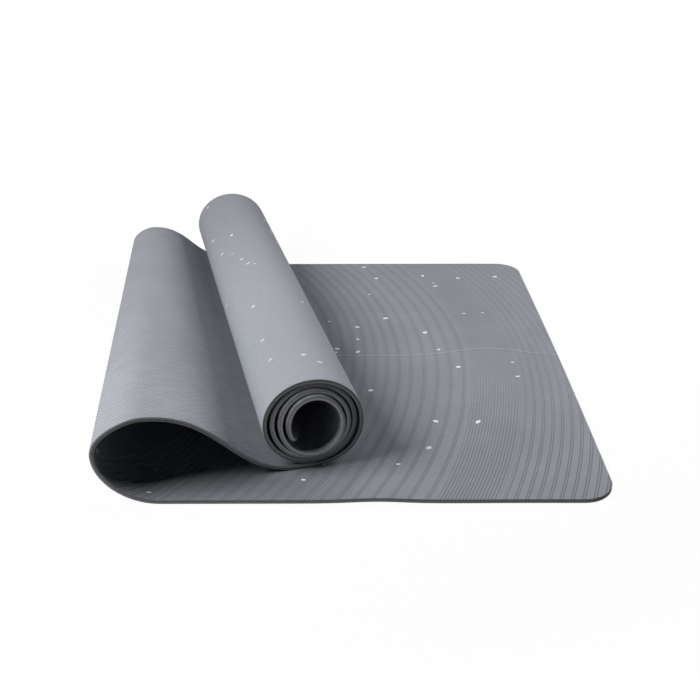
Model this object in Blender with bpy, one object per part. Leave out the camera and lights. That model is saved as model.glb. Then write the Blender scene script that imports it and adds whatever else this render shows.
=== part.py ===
"""A two-ply yoga mat, half put away.

The right half lies flat on the floor. At the left the sheet turns up and over in
a loop, larger at the near edge than at the far one, and comes down on its own top
face. The rest is wound up from its other end into an open roll, which lies askew
on the flat part. The plies keep one thickness all along the way.

Metres, +Z up. The mat is laid out with X along it and Y across it, from the near
edge to the far one. The whole is then turned so that the roll lies along Y, with
the origin on the floor under its middle.
"""

import math

import bmesh
import bpy
import numpy as np

# The sheet as it is cut
MAT_LENGTH = 1.84
MAT_WIDTH = 0.66
TOP_PLY_THICKNESS = 0.0022
BASE_PLY_THICKNESS = 0.0025
BOND_LINE = 0.0003
CORNER_RADIUS = 0.035
SHEET_THICKNESS = TOP_PLY_THICKNESS + BOND_LINE + BASE_PLY_THICKNESS

# How it lies: the near edge leaves the floor after FLAT_RUN, and touches its own
# top face again FOLD_BACK further right
FLAT_RUN = 0.467
FOLD_BACK = 0.1336
LAYER_GAP = 0.0005
ROLL_SKEW = math.radians(13.6)

# The loop at the near edge and at the far edge. It bulges by its reach beyond the
# place where it leaves the floor, at the belly height, and its crest is set back
# from there by its lean
NEAR_LOOP = {"height": 0.0921, "belly_height": 0.0552, "reach": 0.0642, "lean": 0.0461}
FAR_LOOP = {"height": 0.0651, "belly_height": 0.0395, "reach": 0.0516, "lean": 0.0281}

# How far the curve keeps its direction at each turning place of the loop
LIFT_SHARE = 0.56
BELLY_BELOW_SHARE = 0.48
BELLY_ABOVE_SHARE = 0.65
CREST_BEFORE_SHARE = 0.21
CREST_AFTER_SHARE = 0.53
VALLEY_SHARE = 0.42

# The roll: its hollow core, how far that lies off the middle, the slack between
# turns, and the first turn's sag
CORE_WIDTH = 0.047
CORE_HEIGHT = 0.057
CORE_OFFSET = 0.002
SIDE_SLACK = 0.0026
TOP_SLACK = 0.0003
ROLL_STANDOFF = 0.02
SAG = 0.0013
SAG_SPAN = math.radians(100)

# The turns slip along the roll: how far at which share of the winding, outside in
TELESCOPE = 0.0074
WINDING_SHARES = (0.13, 0.36, 0.62, 0.87)
SLIP_SHARES = (0, -0.2, 0.28, 1)

# Facets
LOOP_STEPS = 16
STEPS_PER_TURN = 48
CORNER_STEPS = 8
COLUMNS = 4
SEARCH_STEPS = 50

TOP_PLY_COLOUR = (0.235, 0.240, 0.262, 1)
BASE_PLY_COLOUR = (0.305, 0.315, 0.345, 1)
PLY_ROUGHNESS = 0.75

MIDDLE = SHEET_THICKNESS / 2
SECOND_LAYER = SHEET_THICKNESS + LAYER_GAP + MIDDLE
ACROSS_ROLL = np.array((math.cos(ROLL_SKEW), math.sin(ROLL_SKEW), 0))
ALONG_ROLL = np.array((-math.sin(ROLL_SKEW), math.cos(ROLL_SKEW), 0))
UP = np.array((0, 0, 1))


def clear_scene():
    for old in list(bpy.data.objects):
        bpy.data.objects.remove(old, do_unlink=True)


def search(excess, low, high):
    """The value between low and high at which a rising function passes zero."""
    for _ in range(SEARCH_STEPS):
        guess = (low + high) / 2
        if excess(guess) < 0:
            low = guess
        else:
            high = guess
    return (low + high) / 2


def run_along(points):
    """Distance along a line of points, from its first point."""
    steps = np.linalg.norm(np.diff(points, axis=0), axis=1)
    return np.concatenate(((0,), np.cumsum(steps)))


def curve(start, start_handle, end_handle, end):
    """Points of a cubic Bezier curve, without its last one."""
    t = np.linspace(0, 1, LOOP_STEPS, endpoint=False)[:, None]
    s = 1 - t
    corners = [np.array(point) for point in (start, start_handle, end_handle, end)]
    return s**3 * corners[0] + 3 * s * s * t * corners[1] + 3 * s * t * t * corners[2] + t**3 * corners[3]


def loop_profile(lift_x, valley_x, loop):
    """The sheet's middle from the floor to the valley, as points (x, z)."""
    belly_x = lift_x - loop["reach"]
    belly_z = loop["belly_height"]
    crest_x = belly_x + loop["lean"]
    crest_z = loop["height"] - MIDDLE
    slope = valley_x - crest_x
    rise = curve((lift_x, MIDDLE), (lift_x - LIFT_SHARE * loop["reach"], MIDDLE),
                 (belly_x, belly_z - BELLY_BELOW_SHARE * (belly_z - MIDDLE)), (belly_x, belly_z))
    turn = curve((belly_x, belly_z), (belly_x, belly_z + BELLY_ABOVE_SHARE * (crest_z - belly_z)),
                 (crest_x - CREST_BEFORE_SHARE * loop["lean"], crest_z), (crest_x, crest_z))
    fall = curve((crest_x, crest_z), (crest_x + CREST_AFTER_SHARE * slope, crest_z),
                 (valley_x - VALLEY_SHARE * slope, SECOND_LAYER), (valley_x, SECOND_LAYER))
    return np.vstack((rise, turn, fall, ((valley_x, SECOND_LAYER),)))


def taken_up(profile):
    """How much more sheet a profile uses than the way it goes to the left."""
    return run_along(profile) - (profile[0, 0] - profile[:, 0])


def near_loop():
    """The loop's near edge. A skewed fold carries it inwards as it turns over."""
    profile = loop_profile(-FLAT_RUN, FOLD_BACK - FLAT_RUN, NEAR_LOOP)
    y = math.sin(ROLL_SKEW) / 2 * taken_up(profile)
    return np.column_stack((profile[:, 0], y, profile[:, 1]))


def far_loop(lift_x, valley):
    """The loop's far edge, from the given lift to the far end of the valley."""
    profile = loop_profile(lift_x, valley[0], FAR_LOOP)
    drift = taken_up(profile)
    y = MAT_WIDTH + (valley[1] - MAT_WIDTH) * drift / drift[-1]
    return np.column_stack((profile[:, 0], y, profile[:, 1]))


def matched_far_loop(near):
    """The far edge that lifts where both edges reach the valley after as much sheet."""
    near_run = FLAT_RUN + run_along(near)[-1]
    valley = near[-1] + MAT_WIDTH * ALONG_ROLL

    def excess(flat_run):
        return flat_run + run_along(far_loop(-flat_run, valley))[-1] - near_run

    flat_run = search(excess, -valley[0], MAT_WIDTH - valley[0])
    return far_loop(-flat_run, valley)


def winding(angles, turns):
    """The roll's middle line: points (across, slip, z) at angles from its lowest place.

    Each turn lies inside the one before it, by the sheet's thickness and a slack
    that is wider at the sides than above and below.
    """
    left = turns - angles / math.tau
    half_width = CORE_WIDTH / 2 + MIDDLE + (SHEET_THICKNESS + SIDE_SLACK) * left
    half_height = CORE_HEIGHT / 2 + MIDDLE + (SHEET_THICKNESS + TOP_SLACK) * left
    outer_height = CORE_HEIGHT / 2 + MIDDLE + (SHEET_THICKNESS + TOP_SLACK) * turns
    sag = SAG * np.sin(math.pi * np.minimum(angles / SAG_SPAN, 1))**2
    across = (half_width + sag) * np.sin(angles) + CORE_OFFSET * (1 - left / turns)
    z = SECOND_LAYER + outer_height - (half_height + sag) * np.cos(angles)
    slip = -TELESCOPE * np.interp(angles / (math.tau * turns), WINDING_SHARES, SLIP_SHARES)
    return np.column_stack((across, slip, z))


def winding_table(turns):
    """Angles down the winding and the sheet wound up at each of them."""
    angles = np.linspace(0, math.tau * turns, int(turns + 1) * STEPS_PER_TURN * 4)
    return angles, run_along(winding(angles, turns))


def wound_edges(near_valley, far_valley, length):
    """The roll's two edges, and how far down the sheet each pair of points lies."""
    tightest = min(CORE_WIDTH, CORE_HEIGHT)
    turns = search(lambda count: winding_table(count)[1][-1] - length, 1 / STEPS_PER_TURN, length / tightest)
    angles, wound = winding_table(turns)
    corner = 1 - np.cos(np.linspace(math.pi / 2, 0, CORNER_STEPS + 1))
    ends = length - CORNER_RADIUS * corner
    whole_steps = np.arange(int(turns * STEPS_PER_TURN)) * math.tau / STEPS_PER_TURN
    body = np.interp(whole_steps, angles, wound)
    runs = np.concatenate((body[body < ends[0] - SHEET_THICKNESS], ends))
    across, slip, z = winding(np.interp(runs, wound, angles), turns).T
    edges = []
    for valley in (near_valley, far_valley):
        foot = valley + ROLL_STANDOFF * ACROSS_ROLL
        edge = foot + across[:, None] * ACROSS_ROLL + slip[:, None] * ALONG_ROLL
        edge[:, 2] = z
        edges.append(edge)
    return edges[0], edges[1], runs


def flat_rows():
    """The right end's rounded corners: distances from the end, both edges alike."""
    corner = np.linspace(0, math.pi / 2, CORNER_STEPS + 1)
    return CORNER_RADIUS * (1 - np.cos(corner))


def sheet_edges():
    """The near and far edges of the sheet's middle, and the sheet's run at each row."""
    near = near_loop()
    far = matched_far_loop(near)
    start = flat_rows()
    valley_run = FLAT_RUN + run_along(near)[-1]
    rest = MAT_LENGTH - valley_run - ROLL_STANDOFF
    near_roll, far_roll, wound = wound_edges(near[-1], far[-1], rest)
    near_start = np.column_stack((-start, np.zeros_like(start), np.full_like(start, MIDDLE)))
    far_start = near_start + (0, MAT_WIDTH, 0)
    run = np.concatenate((start, FLAT_RUN + run_along(near), valley_run + ROLL_STANDOFF + wound))
    return np.vstack((near_start, near, near_roll)), np.vstack((far_start, far, far_roll)), run


def corner_inset(run):
    """How much the rounded corners take off each side of the sheet at a run."""
    to_end = np.minimum(np.minimum(run, MAT_LENGTH - run), CORNER_RADIUS)
    short = CORNER_RADIUS - np.maximum(to_end, 0)
    return CORNER_RADIUS - np.sqrt(CORNER_RADIUS**2 - short**2)


def unit(vectors):
    return vectors / np.linalg.norm(vectors, axis=-1, keepdims=True)


def headings(edge):
    """The direction of an edge at each of its points, halfway between its two sides."""
    steps = unit(np.diff(edge, axis=0))
    before = np.vstack((steps[:1], steps))
    after = np.vstack((steps, steps[-1:]))
    return unit(before + after)


def sheet_grid():
    """Points of the sheet's middle and its upward normals, rows by columns."""
    near, far, run = sheet_edges()
    rulings = unit(far - near)
    near_up = unit(np.cross(rulings, headings(near)))[:, None]
    far_up = unit(np.cross(rulings, headings(far)))[:, None]
    inset = corner_inset(run)[:, None] / MAT_WIDTH
    share = (inset + (1 - 2 * inset) * np.linspace(0, 1, COLUMNS + 1))[:, :, None]
    middle = near[:, None] * (1 - share) + far[:, None] * share
    return middle, unit(near_up * (1 - share) + far_up * share)


def ply_faces(rows):
    """Triangles of a closed ply, whose rows each hold an under side and a top side."""
    width = COLUMNS + 1
    ring = list(range(width)) + [width + column for column in reversed(range(width))]
    faces = []
    for row in range(rows - 1):
        here = row * 2 * width
        there = here + 2 * width
        for first, second in zip(ring, ring[1:] + ring[:1]):
            faces.append((here + first, there + first, there + second))
            faces.append((here + first, there + second, here + second))
    for end in (0, (rows - 1) * 2 * width):
        for column in range(COLUMNS):
            faces.append((end + column, end + column + 1, end + width + column + 1))
            faces.append((end + column, end + width + column + 1, end + width + column))
    return faces


def make_ply(name, under, top, material):
    """One ply as a closed solid between its under face and its top face."""
    mesh = bpy.data.meshes.new(name)
    points = np.concatenate((under, top), axis=1).reshape(-1, 3)
    mesh.from_pydata(points.tolist(), [], ply_faces(len(under)))
    shell = bmesh.new()
    shell.from_mesh(mesh)
    bmesh.ops.recalc_face_normals(shell, faces=shell.faces)
    shell.to_mesh(mesh)
    shell.free()
    mesh.shade_smooth()
    mesh.set_sharp_from_angle(angle=math.radians(30))
    mesh.materials.append(material)
    ply = bpy.data.objects.new(name, mesh)
    bpy.context.scene.collection.objects.link(ply)
    return ply


def make_material(name, colour):
    material = bpy.data.materials.new(name)
    material.use_nodes = True
    shader = material.node_tree.nodes["Principled BSDF"]
    shader.inputs["Base Color"].default_value = colour
    shader.inputs["Roughness"].default_value = PLY_ROUGHNESS
    shader.inputs["Metallic"].default_value = 0
    return material


def placed(layers):
    """The layers turned to lay the roll along Y, and centred over the origin."""
    turned = [layer @ np.column_stack((ACROSS_ROLL, ALONG_ROLL, UP)) for layer in layers]
    points = np.concatenate([layer.reshape(-1, 3) for layer in turned])
    centre = (points.min(axis=0) + points.max(axis=0)) / 2 * (1 - UP)
    return [layer - centre for layer in turned]


def build_mat():
    middle, up = sheet_grid()
    base_under = middle - up * MIDDLE
    base_top = base_under + up * BASE_PLY_THICKNESS
    top_under = base_top + up * BOND_LINE
    top_face = middle + up * MIDDLE
    base_under, base_top, top_under, top_face = placed((base_under, base_top, top_under, top_face))
    make_ply("base_ply", base_under, base_top, make_material("base_rubber", BASE_PLY_COLOUR))
    make_ply("top_ply", top_under, top_face, make_material("top_rubber", TOP_PLY_COLOUR))


clear_scene()
build_mat()
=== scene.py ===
import math

import bpy
import numpy as np
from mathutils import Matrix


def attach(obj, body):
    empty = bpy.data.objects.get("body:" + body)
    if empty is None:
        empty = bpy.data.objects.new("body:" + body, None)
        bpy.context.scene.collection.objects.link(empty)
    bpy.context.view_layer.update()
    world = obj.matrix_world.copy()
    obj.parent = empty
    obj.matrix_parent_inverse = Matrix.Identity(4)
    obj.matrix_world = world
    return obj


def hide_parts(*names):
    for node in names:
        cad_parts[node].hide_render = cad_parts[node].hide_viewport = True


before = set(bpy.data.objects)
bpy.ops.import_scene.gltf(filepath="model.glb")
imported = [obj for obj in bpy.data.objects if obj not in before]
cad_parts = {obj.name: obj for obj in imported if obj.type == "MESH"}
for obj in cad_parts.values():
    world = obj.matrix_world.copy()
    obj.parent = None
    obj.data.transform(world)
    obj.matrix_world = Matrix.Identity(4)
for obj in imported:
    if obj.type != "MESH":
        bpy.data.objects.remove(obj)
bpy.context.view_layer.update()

# Viewpoint
# A standing viewer's eye in front of the mat's near edge, looking down over it.
# The mat lies square to the viewer, so the view is turned by the roll's skew.
EYE = (-0.2693, -1.1014, 0.5663)
ROLL_SKEW = math.radians(13.6)
LOOKING_RIGHT = ROLL_SKEW + math.radians(0.19)
LOOKING_DOWN = math.radians(26.41)
LENS_MM = 48.44

camera = bpy.data.objects.new("viewpoint", bpy.data.cameras.new("viewpoint"))
camera.data.lens = LENS_MM
camera.location = EYE
camera.rotation_euler = (math.pi / 2 - LOOKING_DOWN, 0, -LOOKING_RIGHT)
bpy.context.scene.collection.objects.link(camera)
bpy.context.scene.camera = camera

# Base ply
# The under sheet of the mat, foamed rubber cut with its corners rounded, with a fine
# diagonal grip pressed into the side that meets the floor. It carries the whole lie:
# flat, up and over in a loop, then wound into an open roll.
MAT_LENGTH = 1.84
MAT_WIDTH = 0.66
TOP_PLY_THICKNESS = 0.0022
BASE_PLY_THICKNESS = 0.0025
BOND_LINE = 0.0003
CORNER_RADIUS = 0.035
SHEET_THICKNESS = TOP_PLY_THICKNESS + BOND_LINE + BASE_PLY_THICKNESS
MIDDLE = SHEET_THICKNESS / 2

FLAT_RUN = 0.467
FOLD_BACK = 0.1336
LAYER_GAP = 0.0005
SECOND_LAYER = SHEET_THICKNESS + LAYER_GAP + MIDDLE
NEAR_LOOP = {"height": 0.0921, "belly_height": 0.0552, "reach": 0.0642, "lean": 0.0461}
FAR_LOOP = {"height": 0.0651, "belly_height": 0.0395, "reach": 0.0516, "lean": 0.0281}
LIFT_SHARE = 0.56
BELLY_BELOW_SHARE = 0.48
BELLY_ABOVE_SHARE = 0.65
CREST_BEFORE_SHARE = 0.21
CREST_AFTER_SHARE = 0.53
VALLEY_SHARE = 0.42
CURVE_STEPS = 160

CORE_WIDTH = 0.047
CORE_HEIGHT = 0.057
CORE_OFFSET = 0.002
SIDE_SLACK = 0.0026
TOP_SLACK = 0.0003
ROLL_STANDOFF = 0.02
SAG = 0.0013
SAG_SPAN = math.radians(100)
TELESCOPE = 0.0074
WINDING_SHARES = (0.13, 0.36, 0.62, 0.87)
SLIP_SHARES = (0, -0.2, 0.28, 1)
STEPS_PER_TURN = 360
MOST_TURNS = 8
SEARCH_STEPS = 50

SHEET_CORNER = (0.18506, -0.40012)
ACROSS_ROLL = np.array((math.cos(ROLL_SKEW), math.sin(ROLL_SKEW), 0))
ALONG_ROLL = np.array((-math.sin(ROLL_SKEW), math.cos(ROLL_SKEW), 0))
UP = np.array((0, 0, 1))


def search(excess, low, high):
    """Where between low and high rising functions pass zero, by halving all the ranges."""
    for _ in range(SEARCH_STEPS):
        guess = (low + high) / 2
        short = excess(guess) < 0
        low, high = np.where(short, guess, low), np.where(short, high, guess)
    return (low + high) / 2


def run_along(points):
    """Distance along a line of points: the sum of the steps up to each of them."""
    steps = np.linalg.norm(np.diff(points, axis=0), axis=1)
    return np.concatenate(((0,), np.cumsum(steps)))


def curve(*corners):
    """A cubic Bezier curve without its last point: the four corners weighed by the
    powers of the way along it and of the way that is left."""
    t = np.linspace(0, 1, CURVE_STEPS, endpoint=False)[:, None]
    s = 1 - t
    a, b, c, d = np.array(corners)
    return s**3 * a + 3 * s * s * t * b + 3 * s * t * t * c + t**3 * d


def loop_profile(lift_x, valley_x, loop):
    """The sheet's middle as points (x, z): three Bezier curves that rise from the floor
    to the belly, turn over the crest, and fall to the valley on the sheet's own top."""
    belly_x = lift_x - loop["reach"]
    belly_z = loop["belly_height"]
    crest_x = belly_x + loop["lean"]
    crest_z = loop["height"] - MIDDLE
    slope = valley_x - crest_x
    rise = curve((lift_x, MIDDLE), (lift_x - LIFT_SHARE * loop["reach"], MIDDLE),
                 (belly_x, belly_z - BELLY_BELOW_SHARE * (belly_z - MIDDLE)), (belly_x, belly_z))
    turn = curve((belly_x, belly_z), (belly_x, belly_z + BELLY_ABOVE_SHARE * (crest_z - belly_z)),
                 (crest_x - CREST_BEFORE_SHARE * loop["lean"], crest_z), (crest_x, crest_z))
    fall = curve((crest_x, crest_z), (crest_x + CREST_AFTER_SHARE * slope, crest_z),
                 (valley_x - VALLEY_SHARE * slope, SECOND_LAYER), (valley_x, SECOND_LAYER))
    return np.vstack((rise, turn, fall, ((valley_x, SECOND_LAYER),)))


def taken_up(profile):
    """How much more sheet a profile uses than the way it goes to the left."""
    return run_along(profile) - (profile[0, 0] - profile[:, 0])


def near_loop():
    """The loop's near edge: half the skew's sine of the sheet taken up goes inwards."""
    profile = loop_profile(-FLAT_RUN, FOLD_BACK - FLAT_RUN, NEAR_LOOP)
    inwards = math.sin(ROLL_SKEW) / 2 * taken_up(profile)
    return np.column_stack((profile[:, 0], inwards, profile[:, 1]))


def far_loop(lift_x, valley):
    """The loop's far edge, drifting to the valley's far end as it takes up sheet."""
    profile = loop_profile(lift_x, valley[0], FAR_LOOP)
    drift = taken_up(profile)
    y = MAT_WIDTH + (valley[1] - MAT_WIDTH) * drift / drift[-1]
    return np.column_stack((profile[:, 0], y, profile[:, 1]))


def matched_far_loop(near):
    """The far edge whose lift lets both edges reach the valley after as much sheet."""
    near_run = FLAT_RUN + run_along(near)[-1]
    valley = near[-1] + MAT_WIDTH * ALONG_ROLL

    def excess(flat_run):
        return flat_run + run_along(far_loop(-flat_run, valley))[-1] - near_run

    return far_loop(-search(excess, -valley[0], MAT_WIDTH - valley[0]), valley)


def winding(angles, turns):
    """The roll's middle line, (across, slip, z) at angles from its lowest place: an
    ellipse that shrinks by the sheet and its slack each turn, with a sag at its start."""
    left = turns - angles / math.tau
    half_width = CORE_WIDTH / 2 + MIDDLE + (SHEET_THICKNESS + SIDE_SLACK) * left
    half_height = CORE_HEIGHT / 2 + MIDDLE + (SHEET_THICKNESS + TOP_SLACK) * left
    outer_height = CORE_HEIGHT / 2 + MIDDLE + (SHEET_THICKNESS + TOP_SLACK) * turns
    sag = SAG * np.sin(math.pi * np.minimum(angles / SAG_SPAN, 1))**2
    across = (half_width + sag) * np.sin(angles) + CORE_OFFSET * (1 - left / turns)
    z = SECOND_LAYER + outer_height - (half_height + sag) * np.cos(angles)
    slip = -TELESCOPE * np.interp(angles / (math.tau * turns), WINDING_SHARES, SLIP_SHARES)
    return np.column_stack((across, slip, z))


def wound_line(turns):
    """The winding's points at equal steps of angle, down to its inner end."""
    return winding(np.linspace(0, math.tau * turns, int(turns * STEPS_PER_TURN) + 2), turns)


def sheet_edge(loop, wound, sheet_y):
    """One whole edge of the sheet's middle, from the right end to the roll's inner end:
    points (x, y, z, run), the run being the sheet's length up to each, MAT_LENGTH in all."""
    foot = loop[-1] + ROLL_STANDOFF * ACROSS_ROLL
    roll = foot + wound[:, :1] * ACROSS_ROLL + wound[:, 1:2] * ALONG_ROLL
    roll[:, 2] = wound[:, 2]
    start = ((0, sheet_y, MIDDLE), (-CORNER_RADIUS, sheet_y, MIDDLE))
    edge = np.vstack((start, loop, roll))
    runs = run_along(edge)
    return np.column_stack((edge, runs * MAT_LENGTH / runs[-1]))


near_edge_loop = near_loop()
far_edge_loop = matched_far_loop(near_edge_loop)
valley_run = FLAT_RUN + run_along(near_edge_loop)[-1]
wound_length = MAT_LENGTH - valley_run - ROLL_STANDOFF
roll_turns = search(lambda turns: run_along(wound_line(turns))[-1] - wound_length, 1, MOST_TURNS)
near_edge = sheet_edge(near_edge_loop, wound_line(roll_turns), 0)
far_edge = sheet_edge(far_edge_loop, wound_line(roll_turns), MAT_WIDTH)
mean_runs = (near_edge[:, 3] + far_edge[:, 3]) / 2

# How the flat part lies: a low dome near its end, a lift of the near edge beside the
# roll, and an end that bows out a little
DOME = {"height": 0.0106, "run": 0.092, "across": 0.325,
        "run_spread": 0.044, "across_spread": 0.12}
EDGE_LIFT = {"height": 0.0021, "run": 0.246, "across": 0,
             "run_spread": 0.026, "across_spread": 0.07}
END_BOW = 0.002
BOW_RUN = 0.2


def bump_up(run, across, hump):
    """A hump of the sheet: its height times a bell curve along it and one across it."""
    along = (run - hump["run"]) / hump["run_spread"]
    aside = (across - hump["across"]) / hump["across_spread"]
    return hump["height"] * np.exp(-(along**2 + aside**2) / 2)


def unit(vectors):
    return vectors / np.linalg.norm(vectors, axis=-1, keepdims=True)


def edge_at(edge, mean_run):
    """An edge's points (x, y, z, run) on rulings, each value read off the edge's line. A
    ruling is a straight line over the sheet, named by the mean of its two edges' runs."""
    return np.stack([np.interp(mean_run, mean_runs, edge[:, axis]) for axis in range(4)], axis=-1)


HEADING_STEP = 0.0005


def upward(edge, mean_run, ruling):
    """The upward normal at an edge: the ruling crossed with the edge's own heading."""
    ahead = edge_at(edge, mean_run + HEADING_STEP) - edge_at(edge, mean_run - HEADING_STEP)
    return unit(np.cross(ruling, ahead[..., :3]))


def sheet_points(mean_run, share, height):
    """Points in the row frame, and their places (run, across) on the flat sheet, for
    arrays alike of rulings, shares of the way over to the far edge, and heights over the
    middle. The near and far edges' points and normals are mixed by the share, the flat
    part's humps are added, and all is turned to the roll and moved to the sheet's corner."""
    near, far = edge_at(near_edge, mean_run), edge_at(far_edge, mean_run)
    ruling = unit((far - near)[..., :3])
    share = share[..., None]
    mixed = near * (1 - share) + far * share
    near_up, far_up = (upward(edge, mean_run, ruling) for edge in (near_edge, far_edge))
    up = unit(near_up * (1 - share) + far_up * share)
    run, across = mixed[..., 3], share[..., 0] * MAT_WIDTH
    points = mixed[..., :3] + up * height[..., None]
    flat = np.clip((BOW_RUN - run) / BOW_RUN, 0, 1)
    points[..., 0] += END_BOW * flat**2 * (1 - (2 * share[..., 0] - 1)**2)
    points[..., 2] += bump_up(run, across, DOME) + bump_up(run, across, EDGE_LIFT)
    turned = points @ np.column_stack((ACROSS_ROLL, ALONG_ROLL, UP))
    return turned + (*SHEET_CORNER, 0), np.stack((run, across), axis=-1)


ROW_STEP = 0.003
CORNER_ROWS = 14
COLUMN_STEP = 0.012
EDGE_ROUNDING = 0.0007
ROUNDING_STEPS = 4


def row_runs():
    """The grid's rows: close together in the rounded corners, then at even steps."""
    corner = CORNER_RADIUS * (1 - np.cos(np.linspace(0, math.pi / 2, CORNER_ROWS)))
    body = np.linspace(CORNER_RADIUS, MAT_LENGTH - CORNER_RADIUS, round(MAT_LENGTH / ROW_STEP))
    return np.concatenate((corner[:-1], body, MAT_LENGTH - corner[-2::-1]))


def column_insets():
    """Ways in from the near side: close together where the edge is rounded over."""
    rounding = EDGE_ROUNDING * (1 - np.cos(np.linspace(0, math.pi / 2, ROUNDING_STEPS)))
    body = np.linspace(EDGE_ROUNDING, MAT_WIDTH - EDGE_ROUNDING, round(MAT_WIDTH / COLUMN_STEP))
    return np.concatenate((rounding[:-1], body, MAT_WIDTH - rounding[-2::-1]))


def corner_inset(run):
    """How much the rounded corners take off each side of the sheet at a run."""
    short = CORNER_RADIUS - np.clip(np.minimum(run, MAT_LENGTH - run), 0, CORNER_RADIUS)
    return CORNER_RADIUS - np.sqrt(CORNER_RADIUS**2 - short**2)


def rounded_off(run, across):
    """How far the rounding of the cut edge lowers a face: by a quarter circle in the
    distance to the outline, which is a rectangle with rounded corners."""
    along = CORNER_RADIUS - np.minimum(run, MAT_LENGTH - run)
    aside = CORNER_RADIUS - np.minimum(across, MAT_WIDTH - across)
    round_corner = np.hypot(np.maximum(along, 0), np.maximum(aside, 0))
    beyond = round_corner + np.minimum(np.maximum(along, aside), 0)
    inside = np.clip(CORNER_RADIUS - beyond, 0, EDGE_ROUNDING)
    return EDGE_ROUNDING - np.sqrt(EDGE_ROUNDING**2 - (EDGE_ROUNDING - inside)**2)


SHARP_ANGLE = math.radians(50)
MAP_MARGIN = 0.01
MAP_SCALE = (1 - 2 * MAP_MARGIN) / MAT_LENGTH
STRIP_HEIGHT = 0.014
# The four sides round a ply, and what lies below the strip of each in the bake map:
# how many margins, faces and cut edges
UNDER_SIDE, FAR_EDGE, TOP_SIDE, NEAR_EDGE = range(4)
MARGINS_BELOW = np.array((1, 3, 2, 4))
FACES_BELOW = np.array((0, 2, 1, 2))
EDGES_BELOW = np.array((0, 0, 0, 1))


def ply(name, low, high, round_low, round_high):
    """A ply as a closed mesh: rows of rings, each up the sheet's low side, over the far
    cut edge, back along its high side and down the near cut edge. It also writes each
    point's place on the sheet, and a map with an own strip for every side."""
    runs, insets = row_runs(), column_insets()
    inset = corner_inset(runs)[:, None]
    across = inset + (1 - 2 * inset / MAT_WIDTH) * insets
    run = np.repeat(runs[:, None], len(insets), axis=1)
    drop = rounded_off(run, across)
    under, under_place = sheet_points(run, across / MAT_WIDTH, low + drop * round_low)
    over, over_place = sheet_points(run, across / MAT_WIDTH, high - drop * round_high)
    rings = np.concatenate((under, over[:, ::-1]), axis=1)
    places = np.concatenate((under_place, over_place[:, ::-1]), axis=1)
    rows, columns = rings.shape[:2]
    here = np.arange(rows * columns).reshape(rows, columns)
    around = np.roll(here, -1, axis=1)
    sides = np.stack((here[:-1], around[:-1], around[1:], here[1:]), axis=-1).reshape(-1, 4)
    half = columns // 2
    start = np.stack((here[0, :half - 1], here[0, columns - 1:half:-1],
                      here[0, columns - 2:half - 1:-1], here[0, 1:half]), axis=-1)
    finish = np.stack((here[-1, :half - 1], here[-1, 1:half],
                       here[-1, columns - 2:half - 1:-1], here[-1, columns - 1:half:-1]), axis=-1)
    faces = np.concatenate((sides, start, finish))
    mesh = bpy.data.meshes.new(name)
    mesh.from_pydata(rings.reshape(-1, 3).tolist(), [], faces.tolist())
    flat_places = places.reshape(-1, 2)
    level_places = np.column_stack((flat_places, np.zeros(len(flat_places))))
    sheet = mesh.attributes.new("sheet", "FLOAT_VECTOR", "POINT")
    sheet.data.foreach_set("vector", level_places.ravel())

    side = np.tile(np.arange(columns), rows - 1)
    strip = np.select((side < half - 1, side == half - 1, side < columns - 1),
                      (UNDER_SIDE, FAR_EDGE, TOP_SIDE), NEAR_EDGE)
    on_face = (strip == UNDER_SIDE) | (strip == TOP_SIDE)
    along = flat_places[sides, 0] * MAP_SCALE
    face_v = flat_places[sides, 1] * MAP_SCALE
    edge_v = np.array((0, 1, 1, 0)) * STRIP_HEIGHT
    base = MARGINS_BELOW * MAP_MARGIN + FACES_BELOW * MAT_WIDTH * MAP_SCALE
    base = base + EDGES_BELOW * STRIP_HEIGHT
    across_strip = np.where(on_face[:, None], face_v, edge_v)
    sides_uv = np.stack((MAP_MARGIN + along, base[strip][:, None] + across_strip), axis=-1)
    caps_base = base[NEAR_EDGE] + 2 * STRIP_HEIGHT + MAP_MARGIN
    caps = []
    for number, cap in enumerate((start, finish)):
        u = MAP_MARGIN + flat_places[cap, 1] * MAP_SCALE + number * MAT_WIDTH * MAP_SCALE
        v = caps_base + np.isin(cap, here[:, half:]) * STRIP_HEIGHT
        caps.append(np.stack((u, v), axis=-1))
    bake_map = mesh.uv_layers.new(name="OFBake")
    bake_map.data.foreach_set("uv", np.concatenate((sides_uv, *caps)).ravel())
    piece = bpy.data.objects.new(name, mesh)
    bpy.context.scene.collection.objects.link(piece)
    mesh.polygons.foreach_set("use_smooth", np.ones(len(faces), dtype=bool))
    mesh.set_sharp_from_angle(angle=SHARP_ANGLE)
    return piece, strip


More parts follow.
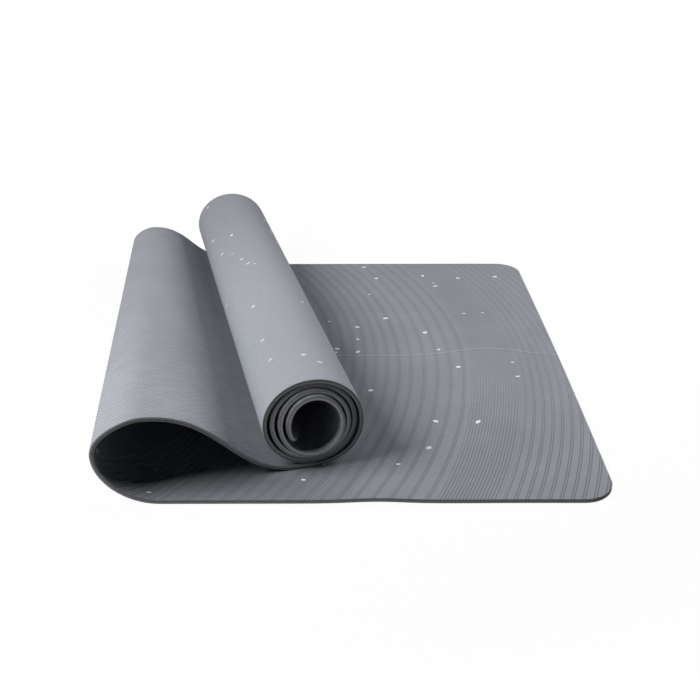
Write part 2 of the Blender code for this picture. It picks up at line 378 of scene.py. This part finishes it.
class Socket:
    """An output of a material's node tree, with which numbers can be reckoned."""

    def __init__(self, finish, output):
        self.finish = finish
        self.output = output

    def reckon(self, operation, first, second=0.0):
        return self.finish.add("ShaderNodeMath", (first, second), operation=operation)

    def __add__(self, other):
        return self.reckon("ADD", self, other)

    def __sub__(self, other):
        return self.reckon("SUBTRACT", self, other)

    def __rsub__(self, other):
        return self.reckon("SUBTRACT", other, self)

    def __mul__(self, other):
        return self.reckon("MULTIPLY", self, other)

    def __truediv__(self, other):
        return self.reckon("DIVIDE", self, other)

    __radd__ = __add__
    __rmul__ = __mul__

    def above(self, other):
        return self.reckon("MAXIMUM", self, other)

    def size(self):
        return self.reckon("ABSOLUTE", self)

    def root(self):
        return self.reckon("SQRT", self)

    def fraction(self):
        return self.reckon("FRACT", self)

    def step(self, start, end):
        """0 up to start, 1 from end on, and a smooth way between."""
        ends = {"Value": self, "From Min": start, "From Max": end}
        return self.finish.add("ShaderNodeMapRange", ends, interpolation_type="SMOOTHSTEP")

    def band(self, start, end, soft):
        """1 between start and end, with soft borders inside them."""
        return self.step(start, start + soft) * (1 - self.step(end - soft, end))

    def line(self, width):
        """1 where the value is 0, and a smooth fall to 0 at half a width on either side."""
        return 1 - self.size().step(0.0, width / 2)

    def repeat(self, pitch):
        """The way to the nearest whole number of pitches."""
        return ((self / pitch + 0.5).fraction() - 0.5) * pitch


class Finish:
    """A material's node tree. add puts in any node and gives back one of its outputs."""

    def __init__(self, name, roughness, specular):
        self.material = bpy.data.materials.new(name)
        self.material.use_nodes = True
        self.tree = self.material.node_tree
        self.shader = self.tree.nodes["Principled BSDF"]
        self.shader.inputs["Roughness"].default_value = roughness
        self.shader.inputs["Specular IOR Level"].default_value = specular

    def set_inputs(self, node, values):
        pairs = values.items() if isinstance(values, dict) else enumerate(values)
        for place, value in pairs:
            if isinstance(value, Socket):
                self.tree.links.new(value.output, node.inputs[place])
            else:
                node.inputs[place].default_value = value

    def add(self, kind, values=(), result=0, **settings):
        node = self.tree.nodes.new(kind)
        for setting, value in settings.items():
            setattr(node, setting, value)
        self.set_inputs(node, values)
        return Socket(self, node.outputs[result])

    def mix(self, factor, first, second):
        """The first colour where the factor is 0 and the second where it is 1. The sockets
        go by number, because the node has each of their names once for every type."""
        return self.add("ShaderNodeMix", {0: factor, 6: first, 7: second}, 2, data_type="RGBA")

    def noise(self, place, scale, detail=2.0):
        """Soft random values about 0.5, with the scale in waves per metre."""
        return self.add("ShaderNodeTexNoise", {"Vector": place, "Scale": scale, "Detail": detail})

    def stretched_noise(self, place, waves, detail=2.0):
        """The same, with its own number of waves per metre for each of the place's axes."""
        stretched = self.add("ShaderNodeVectorMath", (place, waves), operation="MULTIPLY")
        return self.noise(stretched, 1.0, detail)

    def sheet_place(self):
        """The place on the flat sheet, and its run and way across by themselves."""
        place = self.add("ShaderNodeAttribute", (), "Vector", attribute_name="sheet")
        run = self.add("ShaderNodeSeparateXYZ", (place,), 0)
        across = self.add("ShaderNodeSeparateXYZ", (place,), 1)
        return place, run, across

    def body_place(self):
        return self.add("ShaderNodeTexCoord", (), "Object")

    def finish(self, colour, relief=None, roughness=None):
        """Joins the varying colour, relief in metres and roughness to the shader."""
        self.set_inputs(self.shader, {"Base Color": colour})
        if roughness is not None:
            self.set_inputs(self.shader, {"Roughness": roughness})
        if relief is not None:
            bump = self.add("ShaderNodeBump", {"Height": relief, "Distance": 1.0, "Strength": 1.0})
            self.set_inputs(self.shader, {"Normal": bump})
        return self.material


# The base's colours: its plain tone; a darker one for its mottle, also painted shade on the far
# half; a paler one, painted light on the fold; the grooves' tone, also painted shade on the crest
# and by the roll; and black for painted shade at the fold's foot
BASE_COLOUR = (0.525, 0.548, 0.597, 1)
BASE_MOTTLE_AND_SHADE = (0.405, 0.423, 0.461, 1)
BASE_PAINTED_LIGHT = (0.700, 0.731, 0.794, 1)
BASE_GROOVE_AND_SHADE = (0.250, 0.261, 0.290, 1)
BASE_DEEP = (0.130, 0.136, 0.152, 1)
UNLIT = (0, 0, 0, 1)
BASE_ROUGHNESS = 0.72
RUBBER_SPECULAR = 0.35
CLOUD_SCALE = 14
CLOUD_RANGE = (0.3, 0.7)
CLOUD_SHARE = 0.35
# Where on the sheet its tone changes, in metres of run or across, and by which share of
# the other colour. The paler places are painted light and the darker ones painted
# shade. A band has its start, its end and the width of its soft borders. The fold's
# places drift with the way across, because the loop lies askew on the sheet.
FOLD_DRIFT = 0.12
FAR_HALF = (0.15, 0.48)
BELLY_BAND = (0.52, 0.63, 0.03)
BELLY_REACH = (0.06, 0.24)
BELLY_LIGHT_SHARE = 0.45
CREST_BAND = (0.585, 0.71, 0.04)
CREST_SHADE_SHARE = 0.14
SHOULDER_BAND = (0.622, 0.72, 0.035)
SHOULDER_REACH = (0.03, 0.12)
SHOULDER_LIGHT_SHARE = 0.55
SLOPE_STARTS = (0.70, 0.73)
SLOPE_ENDS = (0.735, 0.79)
SLOPE_LIGHT_SHARE = 0.85
FAR_SLOPE_LOSS = 0.4
CLOSING_RUNS = (0.725, 0.80)
OPENING_RUNS = (0.92, 0.98)
CLOSED_SHADE_SHARE = 0.55
FOOT_RUNS = (0.765, 0.80)
FOOT_SHADE_SHARE = 0.5


def fold_tone_with_painted_light(rubber, place, run, across):
    """The base rubber's tone by its place on the sheet, as the photograph has it, with
    painted light, paler on the loop's belly, on its near shoulder and down its slope, and
    painted shade, darker in the far half, on its crest and where the sheet closes up to
    the roll, over a random mottle."""
    far = across.step(*FAR_HALF)
    fold = run - across * FOLD_DRIFT
    cloud = rubber.noise(place, CLOUD_SCALE).step(*CLOUD_RANGE)
    # A random mottle, with painted shade on the far half
    tone = rubber.mix(cloud * CLOUD_SHARE + (1 - far) * (1 - CLOUD_SHARE), BASE_MOTTLE_AND_SHADE, BASE_COLOUR)
    # Painted light: paler on the belly, the near shoulder and the slope
    belly = fold.band(*BELLY_BAND) * (1 - across.step(*BELLY_REACH)) * BELLY_LIGHT_SHARE
    shoulder = run.band(*SHOULDER_BAND) * (1 - across.step(*SHOULDER_REACH)) * SHOULDER_LIGHT_SHARE
    slope = run.step(*SLOPE_STARTS) * (1 - run.step(*SLOPE_ENDS))
    slope = slope * (SLOPE_LIGHT_SHARE - far * FAR_SLOPE_LOSS)
    tone = rubber.mix(slope + shoulder + belly, tone, BASE_PAINTED_LIGHT)
    # Painted shade: darker on the crest and where the sheet closes up to the roll
    closed_shade = run.step(*CLOSING_RUNS) * (1 - run.step(*OPENING_RUNS))
    darker = fold.band(*CREST_BAND) * CREST_SHADE_SHARE + closed_shade * CLOSED_SHADE_SHARE
    return rubber.mix(darker, tone, BASE_GROOVE_AND_SHADE)


STREAK_WAVES = (40, 130, 1)
STREAK_DETAIL = 3.0
STREAK_RANGE = (0.35, 0.65)
STREAK_SHARE = 0.1
STREAK_DEPTH = 0.0003
ROLLER_PITCH = 0.0085
ROLLER_WIDTH = 0.006
ROLLER_LEAN = 2.4
ROLLER_WOBBLE = 0.003
ROLLER_WAVES = (9, 14, 1)
ROLLER_SHARE = 0.66
BROKEN_LINE_SHARE = 0.4
FAR_ROLLER_LOSS = 0.65
CLOSED_SHADE_ROLLER_GAIN = 0.3
RISING_RUNS = (0.58, 0.66)
RISING_SHARE = 0.6
DASH_PITCH = 0.0095
DASH_LEAN = -0.9


def roller_lines(rubber, place, run, across, streaks):
    """Wavering lines, broken by the streaks and by slanting dashes. They are fainter in
    the far half and before the sheet rises, and deeper, as painted shade, where it closes
    up to the roll."""
    wobble = rubber.stretched_noise(place, ROLLER_WAVES) * ROLLER_WOBBLE
    lines = (across + run * ROLLER_LEAN + wobble).repeat(ROLLER_PITCH).line(ROLLER_WIDTH)
    dashes = (across + run * DASH_LEAN).repeat(DASH_PITCH).line(DASH_PITCH)
    fold = run - across * FOLD_DRIFT
    lines = lines * (streaks + dashes + 1) * BROKEN_LINE_SHARE
    lines = lines * (1 - across.step(*FAR_HALF) * FAR_ROLLER_LOSS)
    lines = lines * (fold.step(*RISING_RUNS) * RISING_SHARE + (1 - RISING_SHARE))
    closed_shade = run.step(*CLOSING_RUNS) * (1 - run.step(*OPENING_RUNS))
    # Deeper lines as painted shade where the sheet closes up to the roll
    return lines * (closed_shade * CLOSED_SHADE_ROLLER_GAIN + ROLLER_SHARE)


HATCH_PITCH = 0.0026
HATCH_LEAN = 0.65
HATCH_DEPTH = 0.00022
HATCH_SHARE = 0.3
CROSS_PITCH = 0.0031
CROSS_LEAN = -1.1
CROSS_SHARE = 0.4
GRAIN_SCALE = 420
GRAIN_DEPTH = 0.00006
GRAIN_SHARE = 0.6


def pressed_grip():
    """Foamed rubber pressed with a fine twill: slanting ridges, cut short by a second,
    wider set that leans the other way, over streaks and wavering lines that the rollers
    left along the sheet. All of it is darkened at the fold's foot, beside the roll, by
    painted shade."""
    rubber = Finish("pressed_grip", BASE_ROUGHNESS, RUBBER_SPECULAR)
    place, run, across = rubber.sheet_place()
    ridges = (across + run * HATCH_LEAN).repeat(HATCH_PITCH).line(HATCH_PITCH)
    breaks = (across + run * CROSS_LEAN).repeat(CROSS_PITCH).line(CROSS_PITCH)
    weave = ridges * (breaks * CROSS_SHARE + (1 - CROSS_SHARE))
    grain = rubber.noise(place, GRAIN_SCALE)
    streaks = rubber.stretched_noise(place, STREAK_WAVES, STREAK_DETAIL).step(*STREAK_RANGE)
    tone = fold_tone_with_painted_light(rubber, place, run, across)
    tone = rubber.mix(streaks * STREAK_SHARE, tone, BASE_GROOVE_AND_SHADE)
    tone = rubber.mix(roller_lines(rubber, place, run, across, streaks), tone, BASE_DEEP)
    colour = rubber.mix((1 - weave) * (grain * GRAIN_SHARE + HATCH_SHARE), tone, BASE_GROOVE_AND_SHADE)
    # Painted shade at the fold's foot, by a share of black
    foot = run.step(*FOOT_RUNS) * (1 - run.step(*OPENING_RUNS))
    colour = rubber.mix(foot * FOOT_SHADE_SHARE, colour, UNLIT)
    relief = weave * HATCH_DEPTH - streaks * STREAK_DEPTH + grain * GRAIN_DEPTH
    return rubber.finish(colour, relief)


BASE_EDGE_COLOUR = (0.430, 0.440, 0.468, 1)
BASE_EDGE_SHADE = (0.330, 0.338, 0.362, 1)
# The share and colour of the painted highlight on the cut edges of the roll's inner turns
BASE_EDGE_HIGHLIGHT_SHARE = 0.7
EDGE_PAINTED_HIGHLIGHT = (0.80, 0.82, 0.86, 1)
EDGE_HIGHLIGHT_RUNS = (1.2, 1.5)
EDGE_ROUGHNESS = 0.8
CELL_SCALE = 700
CELL_DETAIL = 3.0
CELL_RANGE = (0.3, 0.65)
CELL_DEPTH = 0.0001


def cut_foam(name, colour, shade, highlight_share):
    """The cut edge of a ply: the same rubber with the fine open cells of a knife cut,
    with a share of painted highlight towards the roll's inner end."""
    foam = Finish(name, EDGE_ROUGHNESS, RUBBER_SPECULAR)
    cells = foam.noise(foam.body_place(), CELL_SCALE, CELL_DETAIL)
    tone = foam.mix(cells.step(*CELL_RANGE), shade, colour)
    run = foam.sheet_place()[1]
    # Painted highlight on the cut edges of the roll's inner turns
    tone = foam.mix(run.step(*EDGE_HIGHLIGHT_RUNS) * highlight_share, tone, EDGE_PAINTED_HIGHLIGHT)
    return foam.finish(tone, cells * CELL_DEPTH)


def dress(piece, strip, face_strip, face, edge):
    """The face material on one side of a ply, and the edge material on all else."""
    piece.data.materials.append(face)
    piece.data.materials.append(edge)
    worn = np.ones(len(piece.data.polygons), dtype=np.int32)
    worn[:len(strip)] = strip != face_strip
    piece.data.polygons.foreach_set("material_index", worn)


base_ply, base_strip = ply("base_sheet", -MIDDLE, BASE_PLY_THICKNESS - MIDDLE, 1, 0)
dress(base_ply, base_strip, UNDER_SIDE, pressed_grip(),
      cut_foam("base_cut_edge", BASE_EDGE_COLOUR, BASE_EDGE_SHADE, BASE_EDGE_HIGHLIGHT_SHARE))
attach(base_ply, "root")
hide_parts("base_ply")

# Top ply
# The upper sheet, denser and smoother rubber bonded to the base all over. Rings round
# the mat's middle and a line down its length are engraved in it for the user to line
# up on, and they fade out towards the middle.
# The top's colours: its plain tone; a darker one for its mottle, also painted shade on the far
# half; a paler one, painted light on the mat's middle where the roll shows its outside; the
# grooves' tone, also painted shade by the roll; and the light line's tone
TOP_COLOUR = (0.322, 0.340, 0.377, 1)
TOP_MOTTLE_AND_SHADE = (0.295, 0.311, 0.345, 1)
TOP_MIDDLE_PAINTED_LIGHT = (0.430, 0.449, 0.491, 1)
GROOVE_AND_SHADE_COLOUR = (0.110, 0.116, 0.132, 1)
LINE_COLOUR = (0.480, 0.498, 0.538, 1)
TOP_ROUGHNESS = 0.6
GROOVE_ROUGHNESS = 0.2
GROOVE_DEPTH = 0.0004
MIDDLE_RUN = MAT_LENGTH / 2
RING_MIDDLE_ACROSS = 0.324
RING_SET_BORDER = 0.004
NEAR_ZONE = (0.06, 0.26)
# Sets of rings: from and to which radius, their pitch, how wide each is, how far its
# twin lies from it, how dark it shows, how deep it is for its tone, and which share of
# it is left in the half of the mat that lies away from the near edge
RING_SETS = (
    {"start": 0.42, "end": 0.565, "pitch": 0.0082, "width": 0.0058, "twin": 0,
     "tone": 0.27, "depth": 0.9, "far": 1},
    {"start": 0.565, "end": 0.72, "pitch": 0.0145, "width": 0.0110, "twin": 0,
     "tone": 0.21, "depth": 0.9, "far": 1},
    {"start": 0.42, "end": 0.72, "pitch": 0.0037, "width": 0.0022, "twin": 0,
     "tone": 0.45, "depth": 0.9, "far": 0.15},
    {"start": 0.71, "end": 0.80, "pitch": 0.0165, "width": 0.0110, "twin": 0,
     "tone": 0.10, "depth": 0.8, "far": 1},
    {"start": 0.71, "end": 0.80, "pitch": 0.0165, "width": 0.0018, "twin": 0.0026,
     "tone": 0.58, "depth": 0.8, "far": 0.5},
    {"start": 0.80, "end": 0.862, "pitch": 0.0034, "width": 0.0018, "twin": 0,
     "tone": 0.75, "depth": 0.7, "far": 0.4},
    {"start": 0.862, "end": 0.985, "pitch": 0.0108, "width": 0.0020, "twin": 0.0026,
     "tone": 0.70, "depth": 0.8, "far": 0.5},
)


def ring_grooves(radius, aside):
    """All the sets of rings added up, each a row of lines in the radius: how dark they
    show, and how deep they are."""
    nearness = (0 - aside).step(*NEAR_ZONE)
    grooves = 0
    depth = 0
    for ring in RING_SETS:
        lines = radius.repeat(ring["pitch"]).line(ring["width"])
        if ring["twin"]:
            twins = (radius - ring["twin"]).repeat(ring["pitch"]).line(ring["width"])
            lines = lines.above(twins)
        lines = lines * radius.band(ring["start"], ring["end"], RING_SET_BORDER) * ring["tone"]
        lines = lines * (nearness * (1 - ring["far"]) + ring["far"])
        grooves = lines + grooves
        depth = lines * ring["depth"] + depth
    return grooves, depth


# Where the tone changes, as radii, ways aside of the middle line and runs, and by which
# share of the other colour: painted light in the mat's middle, and painted shade in the
# far half, at the near brink beside the roll and on the turns that others cover
MIDDLE_LIGHT_ZONE = (0.34, 0.62)
FAR_ZONE = (-0.1, 0.34)
FAR_SHADE_SHARE = 0.6
BRINK_ZONE = (0.17, 0.30)
INNER_RINGS = (0.68, 0.79)
BRINK_SHADE_SHARE = 0.3
COVERED_RUNS = (1.15, 1.2)
COVERED_SHADE_SHARE = 0.6
SPECK_RANGE = (0.35, 0.65)
SMUDGE_SCALE = 120
SMUDGE_DETAIL = 5.0
SMUDGE_SHARE = 0.06
FINE_GRAIN_SHARE = 0.07


def top_tone_with_painted_light(rubber, place, run, aside, radius, fade, grain):
    """The top rubber's tone by its place, as the photograph has it: painted light in the
    mat's middle, which the roll shows on its outside, and painted shade in the far half,
    at the near brink beside the roll and on the turns that others cover, with smudges
    and grain over all."""
    cloud = rubber.noise(place, CLOUD_SCALE).step(*CLOUD_RANGE)
    tone = rubber.mix(cloud, TOP_MOTTLE_AND_SHADE, TOP_COLOUR)
    # Painted light in the mat's middle, on the roll's outside
    tone = rubber.mix(radius.step(*MIDDLE_LIGHT_ZONE), TOP_MIDDLE_PAINTED_LIGHT, tone)
    # Painted shade on the far half, at the near brink beside the roll and on the covered turns
    tone = rubber.mix(aside.step(*FAR_ZONE) * FAR_SHADE_SHARE, tone, TOP_MOTTLE_AND_SHADE)
    brink = (0 - aside).step(*BRINK_ZONE) * (1 - radius.step(*INNER_RINGS)) * fade
    tone = rubber.mix(brink * BRINK_SHADE_SHARE, tone, GROOVE_AND_SHADE_COLOUR)
    tone = rubber.mix(run.step(*COVERED_RUNS) * COVERED_SHADE_SHARE, tone, GROOVE_AND_SHADE_COLOUR)
    smudges = rubber.noise(place, SMUDGE_SCALE, SMUDGE_DETAIL).step(*SPECK_RANGE)
    specks = grain.step(*SPECK_RANGE) * FINE_GRAIN_SHARE + smudges * SMUDGE_SHARE
    return rubber.mix(specks, tone, GROOVE_AND_SHADE_COLOUR)


MIDDLE_FADE = (0.42, 0.52)
FINE_GRAIN_SCALE = 700
FINE_GRAIN_DEPTH = 0.00002
LIGHT_LINE_OFFSET = 0.001
LIGHT_LINE_SHARE = 0.6
DARK_LINE_OFFSET = 0.0016
DARK_LINE_SHARE = 0.32
DARK_LINE_DEPTH_SHARE = 0.4
LINE_WIDTH = 0.0032
FAR_RIM_WIDTH = 0.009
FAR_RIM_SHARE = 0.6


def engraved_grip():
    """Smooth rubber with the rings' grooves, one light and one dark line along the
    middle of the width, and a dark line along the far edge."""
    rubber = Finish("engraved_grip", TOP_ROUGHNESS, RUBBER_SPECULAR)
    place, run, across = rubber.sheet_place()
    along = run - MIDDLE_RUN
    aside = across - RING_MIDDLE_ACROSS
    radius = (along * along + aside * aside).root()
    fade = radius.step(*MIDDLE_FADE)
    grooves, depth = ring_grooves(radius, aside)
    grooves = grooves * fade
    grain = rubber.noise(place, FINE_GRAIN_SCALE)
    tone = top_tone_with_painted_light(rubber, place, run, aside, radius, fade, grain)
    colour = rubber.mix(grooves, tone, GROOVE_AND_SHADE_COLOUR)
    light_line = (aside - LIGHT_LINE_OFFSET).line(LINE_WIDTH) * fade
    dark_line = (aside + DARK_LINE_OFFSET).line(LINE_WIDTH) * fade
    # Darker along the far edge of the face
    far_rim = (MAT_WIDTH - across).line(FAR_RIM_WIDTH)
    darker = dark_line * DARK_LINE_SHARE + far_rim * FAR_RIM_SHARE
    colour = rubber.mix(darker, colour, GROOVE_AND_SHADE_COLOUR)
    colour = rubber.mix(light_line * LIGHT_LINE_SHARE, colour, LINE_COLOUR)
    engraved = depth * fade + dark_line * DARK_LINE_DEPTH_SHARE
    relief = grain * FINE_GRAIN_DEPTH - engraved * GROOVE_DEPTH
    return rubber.finish(colour, relief, grooves * GROOVE_ROUGHNESS + TOP_ROUGHNESS)


TOP_EDGE_COLOUR = (0.265, 0.275, 0.300, 1)
TOP_EDGE_SHADE = (0.205, 0.213, 0.235, 1)
# The share of painted highlight on the top ply's cut edge towards the roll's inner end
TOP_EDGE_HIGHLIGHT_SHARE = 0.35

top_ply, top_strip = ply("top_sheet", MIDDLE - TOP_PLY_THICKNESS, MIDDLE, 0, 1)
dress(top_ply, top_strip, TOP_SIDE, engraved_grip(),
      cut_foam("top_cut_edge", TOP_EDGE_COLOUR, TOP_EDGE_SHADE, TOP_EDGE_HIGHLIGHT_SHARE))
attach(top_ply, "root")
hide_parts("top_ply")

# Flecks
# Chips of pale rubber rolled into the top ply before it cures, flush with its face.
# They lie closest together round the mat's middle, and each has its own tint.
FLECK_COUNT = 190
FLECK_DRAWS = 8 * FLECK_COUNT
FLECK_SEED = 11
FLECK_SPREAD = 0.62
FLECK_MARGIN = 0.012
FLECK_LENGTHS = (0.0040, 0.0086)
FLECK_SLIMNESS_SHARES = (0.35, 0.95)
FLECK_UNEVENNESS = (0.85, 1.1)
FLECK_TURN = math.radians(25)
FLECK_CORNERS = 9
FLECK_PROUD = 0.00006
FLECK_ROOT = 0.0004
PALE_CHIP = (0.97, 0.965, 0.95, 1)
SAND_CHIP = (0.60, 0.50, 0.38, 1)
SAND_RANGE = (0.55, 0.95)
SAND_SHARE = 0.6
MOTTLE_SHARE = 0.05


def fleck_centres(random):
    """Places on the sheet, drawn evenly and kept with a chance that falls off as a bell
    curve in the distance from the mat's middle."""
    run = random.uniform(FLECK_MARGIN, MAT_LENGTH - FLECK_MARGIN, FLECK_DRAWS)
    across = random.uniform(FLECK_MARGIN, MAT_WIDTH - FLECK_MARGIN, FLECK_DRAWS)
    radius = np.hypot(run - MIDDLE_RUN, across - MAT_WIDTH / 2)
    kept = random.random(FLECK_DRAWS) < np.exp(-(radius / FLECK_SPREAD)**2 / 2)
    return run[kept][:FLECK_COUNT], across[kept][:FLECK_COUNT]


def ruling_through(run, share):
    """The rulings, by mean run, on which the edges' runs mix to the given runs."""

    def excess(mean_run):
        near_run, far_run = (edge_at(edge, mean_run)[..., 3] for edge in (near_edge, far_edge))
        return near_run * (1 - share) + far_run * share - run

    return search(excess, np.zeros_like(run), np.full_like(run, MAT_LENGTH))


def flecks():
    """Closed chips: an uneven oval of corners on the face, and the same below it."""
    random = np.random.default_rng(FLECK_SEED)
    run, across = fleck_centres(random)
    count = len(run)
    half = random.uniform(*FLECK_LENGTHS, count) / 2
    slim = random.uniform(*FLECK_SLIMNESS_SHARES, count)
    heading = random.normal(0, FLECK_TURN, count)
    around = np.arange(FLECK_CORNERS) * math.tau / FLECK_CORNERS
    reach = half[:, None] * random.uniform(*FLECK_UNEVENNESS, (count, FLECK_CORNERS))
    out = reach * np.cos(around)
    aside = reach * np.sin(around) * slim[:, None]
    turn_run = out * np.cos(heading)[:, None] - aside * np.sin(heading)[:, None]
    turn_across = out * np.sin(heading)[:, None] + aside * np.cos(heading)[:, None]
    share = (across[:, None] + turn_across) / MAT_WIDTH
    ruling = ruling_through(run[:, None] + turn_run, share)
    top = sheet_points(ruling, share, np.full_like(share, MIDDLE + FLECK_PROUD))[0]
    root = sheet_points(ruling, share, np.full_like(share, MIDDLE - FLECK_ROOT))[0]
    points = np.concatenate((top, root), axis=1)
    first = np.arange(count) * 2 * FLECK_CORNERS
    corner = np.arange(FLECK_CORNERS)
    after = np.roll(corner, -1)
    tops = first[:, None] + corner
    roots = first[:, None] + FLECK_CORNERS + corner[::-1]
    walls = np.stack((corner, corner + FLECK_CORNERS, after + FLECK_CORNERS, after), axis=-1)
    walls = (first[:, None, None] + walls).reshape(-1, 4)
    faces = tops.tolist() + roots.tolist() + walls.tolist()
    mesh = bpy.data.meshes.new("flecks")
    mesh.from_pydata(points.reshape(-1, 3).tolist(), [], faces)
    tint = mesh.attributes.new("tint", "FLOAT", "POINT")
    tint.data.foreach_set("value", np.repeat(random.random(count)**2, 2 * FLECK_CORNERS))
    piece = bpy.data.objects.new("flecks", mesh)
    bpy.context.scene.collection.objects.link(piece)
    chip = Finish("fleck_chip", TOP_ROUGHNESS, RUBBER_SPECULAR)
    sandy = chip.add("ShaderNodeAttribute", (), "Fac", attribute_name="tint")
    mottle = chip.noise(chip.body_place(), GRAIN_SCALE)
    sand = sandy.step(*SAND_RANGE) * SAND_SHARE + mottle * MOTTLE_SHARE
    mesh.materials.append(chip.finish(chip.mix(sand, PALE_CHIP, SAND_CHIP)))
    return piece


fleck_chips = flecks()
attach(fleck_chips, "root")

# Floor and light
# A plain white studio floor, which the camera sees as white with only the soft shadow
# of the mat, under a large soft light from the left, a smaller one from the right and a
# faint one from behind. The camera sees a white sky, which gives no light.
WHITE = (1, 1, 1, 1)
FLOOR_SIZE = 30
FLOOR_DROP = 0.0002
FLOOR_COLOUR = (0.45, 0.45, 0.45, 1)
SEEN_FLOOR_COLOUR = (0.98, 0.98, 0.98, 1)
FLOOR_GLOW_SHARE = 0.95
SHADOW_ZONE = (0.5, 0.72)

floor_mesh = bpy.data.meshes.new("floor")
reach = FLOOR_SIZE / 2
floor_corners = [(-reach, -reach, 0), (reach, -reach, 0), (reach, reach, 0), (-reach, reach, 0)]
floor_mesh.from_pydata(floor_corners, [], [(0, 1, 2, 3)])
floor = bpy.data.objects.new("floor", floor_mesh)
bpy.context.scene.collection.objects.link(floor)
floor.location = (0, 0, -FLOOR_DROP)
paper = Finish("white_floor", 1, 0)
is_camera = paper.add("ShaderNodeLightPath", (), "Is Camera Ray")
paper_colour = paper.mix(is_camera, FLOOR_COLOUR, SEEN_FLOOR_COLOUR)
paper.set_inputs(paper.shader, {"Base Color": paper_colour})
glow = paper.add("ShaderNodeEmission", {"Color": WHITE, "Strength": 1.0})
distance = paper.add("ShaderNodeVectorMath", (paper.body_place(),), "Value", operation="LENGTH")
glow_share = distance.step(*SHADOW_ZONE) * (1 - FLOOR_GLOW_SHARE) + FLOOR_GLOW_SHARE
both = paper.add("ShaderNodeMixShader", (is_camera * glow_share,))
paper.tree.links.new(paper.shader.outputs[0], both.output.node.inputs[1])
paper.tree.links.new(glow.output, both.output.node.inputs[2])
paper.tree.links.new(both.output, paper.tree.nodes["Material Output"].inputs["Surface"])
floor_mesh.materials.append(paper.material)

world = bpy.data.worlds.new("studio")
world.use_nodes = True
bpy.context.scene.world = world
sky_nodes, sky_links = world.node_tree.nodes, world.node_tree.links
unlit_sky = sky_nodes["Background"]
unlit_sky.inputs["Color"].default_value = WHITE
unlit_sky.inputs["Strength"].default_value = 0
seen_sky = sky_nodes.new("ShaderNodeBackground")
seen_sky.inputs["Color"].default_value = WHITE
seen_sky.inputs["Strength"].default_value = 1
path = sky_nodes.new("ShaderNodeLightPath")
choice = sky_nodes.new("ShaderNodeMixShader")
sky_links.new(path.outputs["Is Camera Ray"], choice.inputs[0])
sky_links.new(unlit_sky.outputs[0], choice.inputs[1])
sky_links.new(seen_sky.outputs[0], choice.inputs[2])
sky_links.new(choice.outputs[0], sky_nodes["World Output"].inputs["Surface"])

LAMP_AIM = (-0.1, 0, 0.03)
KEY = {"place": (-1.5, -0.14, 1.5), "size": 1.0, "watts": 39.0}
FILL = {"place": (1.1, 0.2, 0.85), "size": 0.8, "watts": 10.8}
BACK = {"place": (0.4, 1.3, 1.9), "size": 1.2, "watts": 2.4}


def soft_lamp(name, lamp):
    """A square area lamp at its place, turned so that it shines at the lamps' aim."""
    light = bpy.data.lights.new(name, "AREA")
    light.size = lamp["size"]
    light.energy = lamp["watts"]
    body = bpy.data.objects.new(name, light)
    body.location = lamp["place"]
    ray = np.array(LAMP_AIM) - lamp["place"]
    tilt = math.atan2(math.hypot(ray[0], ray[1]), -ray[2])
    body.rotation_euler = (tilt, 0, math.atan2(ray[1], ray[0]) - math.pi / 2)
    bpy.context.scene.collection.objects.link(body)


soft_lamp("key_light", KEY)
soft_lamp("fill_light", FILL)
soft_lamp("back_light", BACK)
bpy.context.scene.view_settings.view_transform = "Standard"
